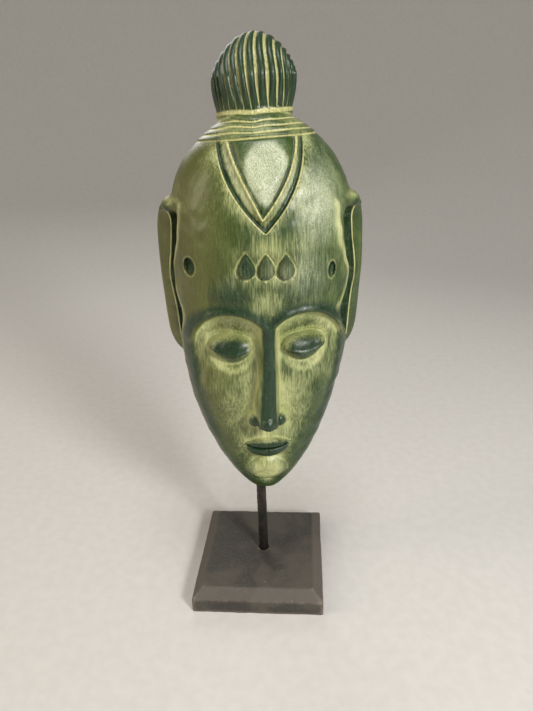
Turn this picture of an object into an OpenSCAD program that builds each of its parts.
// Carved wooden mask on a rod and block stand.
// Millimetres, +Z up. The origin is the centre of the block's underside, and the front faces -Y.
// The mask drops over the rod's top end, and the rod stands in a blind hole in the block.

/* [Base block] */
// Width of the block, left to right
base_w = 130; // [110:1:160]
// Depth of the block, front to back
base_d = 134; // [110:1:160]
// Height of the block's upright edge faces
base_edge_h = 15.5; // [12:0.5:25]
// How far in the sloped border runs
border_in = 10.3; // [6:0.1:16]
// How much the sloped border rises
border_h = 8.6; // [5:0.1:12]

/* [Rod] */
// Diameter of the rod
rod_d = 10; // [8:0.5:12]
// Sideways distance from the block's middle to the rod
rod_off_x = 2.5; // [0:0.5:5]
// Depth of the rod's seat in the block
seat_depth = 18; // [14:1:20]
// Depth of the rod's socket in the mask
socket_depth = 62; // [40:1:66]
// Gap all round between the rod and each hole
rod_clearance = 0.06; // [0.02:0.01:0.09]
// Bevel on both ends of the rod
rod_bevel = 1; // [0.5:0.1:2]

/* [Mask] */
// Height of the mask's lower end above the floor
mask_bottom_z = 112; // [100:1:130]
// Height of the head from its lower end to the dome's hidden top
head_h = 351; // [340:1:365]
// Widest part of the head, without the ears
head_w = 150; // [138:1:156]
// Depth from the widest plane forward to the forehead
front_depth = 71; // [60:1:75]
// Depth from the widest plane back to the flat back
back_depth = 24; // [20:1:30]
// How far each ear stands out from the head
ear_out = 12.6; // [8:0.2:14]
// Radius of the topknot
knot_r = 32.5; // [28:0.5:36]
// Height of the topknot's top above the floor
knot_top_z = 507; // [500:1:515]
// Depth of the hollow in the back
hollow_depth = 66; // [40:1:70]
// Turn of the mask on the rod, away from square with the block
mask_turn = 8; // [0:1:30]
// Sideways lean of the mask, away from upright
mask_lean = 0.7; // [0:0.1:1.5]
// Sideways distance from the rod to the middle of the mask's lower end
mask_off_x = 5; // [0:0.5:6]

/* [Hidden] */

ROUND_FN = 96;
ROD_FN = 64;
wood_green = "#3f6b3a";
stand_black = "#33312f";
rod_black = "#2b2724";

base_top_z = base_edge_h + border_h;
seat_z = base_top_z - seat_depth;
hole_r = rod_d / 2 + rod_clearance;
rod_top_z = mask_bottom_z + socket_depth;

// The head is an egg whose virtual tip lies a little under the mask's flat lower end.
TIP_CUT = 7;
tip_z = mask_bottom_z - TIP_CUT;
crown_z = mask_bottom_z + head_h;
WIDEST_SHARE = 0.56;
DEEPEST_SHARE = 0.70;
FACE_SQUARENESS = 2.25;
REAR_TAPER = 0.10;
CHIN_BACK_H = 62;

// The topknot narrows to its waist below its widest level and rounds off above it.
knot_mid_z = knot_top_z - 32;
KNOT_WAIST_DROP = 24;
KNOT_WAIST_CUT = 4.5;
KNOT_DOME_H = 32.2;
KNOT_DOME_P = 1.45;
KNOT_DOME_Q = 0.52;

// The hollow is a long scoop out of the flat back.
HOLLOW_MID = 190;
HOLLOW_HALF_H = 113;
RIM = 12;
RIM_SHARE = 0.36;
END_TAPER = 0.98;

// The ears run down the widest plane. They narrow a little downwards and round off at both ends.
ear_top_z = mask_bottom_z + 282;
ear_bottom_z = mask_bottom_z + 152;
EAR_TOP_ROUND = 28;
EAR_BOTTOM_ROUND = 19;
EAR_NARROWING = 0.2;

// The carving isn't quite true: the head sways sideways as it rises, and the crown sits askew.
HEAD_SWAY = 1.7;
CROWN_SWAY = -3.2;
CROWN_TILT = 0.06;

// Face on the halves rule: eyes at half the head's height, nose base halfway from the eyes
// to the chin, mouth a third of the way below that. The head is five eyes wide.
face_crown_z = mask_bottom_z + 341;
face_chin_z = mask_bottom_z + 13;
eye_z = (face_crown_z + tip_z) / 2;
nose_z = (eye_z + face_chin_z) / 2;
mouth_z = nose_z - (nose_z - face_chin_z) / 3;
eye_w = head_w / 5;

function share(z) = (z - tip_z) / (crown_z - tip_z);
function egg(s, widest, low_p, low_q, high_p, high_q) =
    s < widest
        ? pow(1 - pow((widest - max(s, 0)) / widest, low_p), 1 / low_q)
        : pow(max(0, 1 - pow((min(s, 1) - widest) / (1 - widest), high_p)), 1 / high_q);
function knot_half(z) =
    z > knot_mid_z
        ? knot_r * pow(max(0, 1 - pow((z - knot_mid_z) / KNOT_DOME_H, KNOT_DOME_P)), KNOT_DOME_Q)
        : z > knot_mid_z - KNOT_WAIST_DROP - 8
            ? knot_r - KNOT_WAIST_CUT * pow((knot_mid_z - z) / KNOT_WAIST_DROP, 2)
            : 0;
function half_w(z) = max(knot_half(z), head_w / 2 * egg(share(z), WIDEST_SHARE, 2, 1.5, 5.4, 0.864));
function front(z) =
    max(knot_half(z), front_depth * egg(share(z), DEEPEST_SHARE, 1.3, 2, 2.4, 1.8));
function chin_back(z) =
    back_depth * sqrt(1 - pow(1 - min(1, (z - tip_z) / CHIN_BACK_H), 2));
function back(z) = min(chin_back(z), z > knot_mid_z - KNOT_WAIST_DROP ? knot_half(z) : back_depth);
// How wide the outline still is at a share s of the way back. The topknot stays round.
function rear_share(z, s) =
    let (flat = 1 - REAR_TAPER * s * s, turn = s * back(z) / half_w(z))
    flat + (sqrt(max(0, 1 - turn * turn)) - flat) * step(z, knot_mid_z - KNOT_WAIST_DROP - 10,
        knot_mid_z - KNOT_WAIST_DROP);
function round_end(t) = sqrt(max(0, 1 - pow(max(0, t), 2)));
function ear(z) =
    let (down = (ear_top_z - z) / (ear_top_z - ear_bottom_z))
    ear_out * (1 - EAR_NARROWING * min(1, max(0, (down - 0.3) / 0.58)))
        * round_end(1 - (ear_top_z - z) / EAR_TOP_ROUND)
        * round_end(1 - (z - ear_bottom_z) / EAR_BOTTOM_ROUND);

// Relief on the front, as forward height at a point of the face.
function dome(dx, dz, rx, rz) = max(0, 1 - pow(dx / rx, 2) - pow(dz / rz, 2));
function step(x, a, b) = let (t = min(1, max(0, (x - a) / (b - a)))) t * t * (3 - 2 * t);
function nose_relief(x, z) =
    let (bridge = 13 - 9 * step(z, nose_z + 10, eye_z + 18))
    max(
        bridge * (1 - step(abs(x), 2, 11)) * step(z, nose_z - 5, nose_z + 4)
            * (1 - step(z, eye_z, eye_z + 32)),
        9 * dome(abs(x) - 9, z - nose_z - 7, 8, 10)
    );
function eye_relief(x, z) =
    12 * dome(abs(x) - eye_w, z - eye_z - 9, eye_w * 0.8, 19)
    - 5 * dome(abs(x) - eye_w, z - eye_z - 4, eye_w * 1.0, 30);
function lip_relief(x, z) =
    max(
        7 * dome(x, z - mouth_z - 6, eye_w * 0.8, 10),
        8 * dome(x, z - mouth_z + 8, eye_w * 0.7, 11)
    );
function relief(x, z) = nose_relief(x, z) + eye_relief(x, z) + lip_relief(x, z);

// One level of the mask is a closed loop: round the front, down both sides and along the hollow.
FRONT_STEPS = 44;
FRONT_LAST_A = 80;
SIDES = [[-0.135, 1], [-0.06, 1], [0, 1], [0.2, 1], [0.36, 1], [0.44, 0], [0.7, 0], [1, 0]];
INNER_STEPS = 14;
function front_angle(t) = FRONT_LAST_A * (0.7 * t + 0.3 * t * t * t);
function rounded(c) = sign(c) * pow(abs(c), 2 / FACE_SQUARENESS);
function front_point(z, t) =
    let (
        a = front_angle(t),
        x = half_w(z) * rounded(sin(a)),
        y = -front(z) * rounded(cos(a))
    )
    [x, y - relief(x, z) * step(knot_mid_z - 40 - z, 0, 10), z];
function side_point(z, i, hand) =
    let (
        s = SIDES[i],
        depth = s[0] < 0 ? front(z) : back(z),
        across = s[0] < 0
            ? pow(1 - pow(-s[0], FACE_SQUARENESS), 1 / FACE_SQUARENESS)
            : rear_share(z, s[0])
    )
    [hand * (half_w(z) * across + s[1] * ear(z)), s[0] * depth, z];
function off_middle(z) = min(1, abs(z - mask_bottom_z - HOLLOW_MID) / HOLLOW_HALF_H);
function inner_point(z, j) =
    let (
        a = 90 - 180 * j / INNER_STEPS,
        v = off_middle(z),
        rear_half = half_w(z) * rear_share(z, 1),
        half = (rear_half - min(RIM, RIM_SHARE * rear_half)) * pow(1 - END_TAPER * pow(v, 4), 0.25),
        depth = hollow_depth * sqrt(1 - v * v)
    )
    [half * sin(a), back(z) - depth * pow(cos(a), 0.8), z];
function level_loop(z) = concat(
    [for (k = [0:FRONT_STEPS]) front_point(z, -1 + 2 * k / FRONT_STEPS)],
    [for (i = [0:len(SIDES) - 1]) side_point(z, i, 1)],
    [for (j = [0:INNER_STEPS]) inner_point(z, j)],
    [for (i = [len(SIDES) - 1:-1:0]) side_point(z, i, -1)]
);

function swayed(p) =
    let (
        risen = step(p[2], mask_bottom_z + 100, mask_bottom_z + 160),
        crown = step(p[2], mask_bottom_z + 268, mask_bottom_z + 338)
    )
    [p[0] + HEAD_SWAY * risen + CROWN_SWAY * crown, p[1], p[2] + CROWN_TILT * p[0] * crown];

// Levels lie closer together near both ends, where the outline turns fastest.
LEVELS = 80;
TOP_FLAT = 0.6;
function level_z(k) =
    let (t = k / LEVELS, eased = 0.5 - 0.5 * cos(180 * t))
    mask_bottom_z + (knot_top_z - TOP_FLAT - mask_bottom_z) * (0.8 * t + 0.2 * eased);

module carving() {
    loops = [for (k = [0:LEVELS]) level_loop(level_z(k))];
    n = len(loops[0]);
    walls = [
        for (k = [0:LEVELS - 1], i = [0:n - 1])
            let (a = k * n + i, b = k * n + (i + 1) % n)
            each [[a, a + n, b + n], [a, b + n, b]]
    ];
    bottom = [[for (i = [0:n - 1]) i]];
    top = [[for (i = [n - 1:-1:0]) LEVELS * n + i]];
    polyhedron(points = [for (loop = loops, p = loop) swayed(p)], faces = concat(walls, bottom, top));
}

module base_block() {
    color(stand_black)
    difference() {
        union() {
            translate([-base_w / 2, -base_d / 2, 0]) cube([base_w, base_d, base_edge_h]);
            translate([0, 0, base_edge_h]) sloped_border();
        }
        translate([rod_off_x, 0, seat_z])
            cylinder(r = hole_r, h = seat_depth + 1, $fn = ROUND_FN);
    }
}

// The block's top: a frustum whose four sides are the sloped border.
module sloped_border() {
    outer = [[-1, -1], [1, -1], [1, 1], [-1, 1]];
    half = [base_w / 2, base_d / 2];
    low = [for (c = outer) [c[0] * half[0], c[1] * half[1], 0]];
    high = [for (c = outer) [c[0] * (half[0] - border_in), c[1] * (half[1] - border_in), border_h]];
    polyhedron(
        points = concat(low, high),
        faces = concat(
            [[0, 1, 2, 3], [7, 6, 5, 4]],
            [for (i = [0:3]) [i, i + 4, (i + 1) % 4 + 4, (i + 1) % 4]]
        )
    );
}

module rod() {
    r = rod_d / 2;
    color(rod_black)
    translate([rod_off_x, 0, 0])
    rotate_extrude($fn = ROD_FN)
        polygon([
            [0, seat_z], [r - rod_bevel, seat_z], [r, seat_z + rod_bevel],
            [r, rod_top_z - rod_bevel], [r - rod_bevel, rod_top_z], [0, rod_top_z]
        ]);
}

module mask() {
    color(wood_green)
    translate([rod_off_x, 0, 0])
    difference() {
        rotate([0, 0, mask_turn])
            translate([mask_off_x, 0, mask_bottom_z])
            rotate([0, mask_lean, 0])
            translate([0, 0, -mask_bottom_z])
            carving();
        translate([0, 0, mask_bottom_z - 1])
            cylinder(r = hole_r, h = socket_depth + 1, $fn = ROUND_FN);
    }
}

base_block();
rod();
mask();
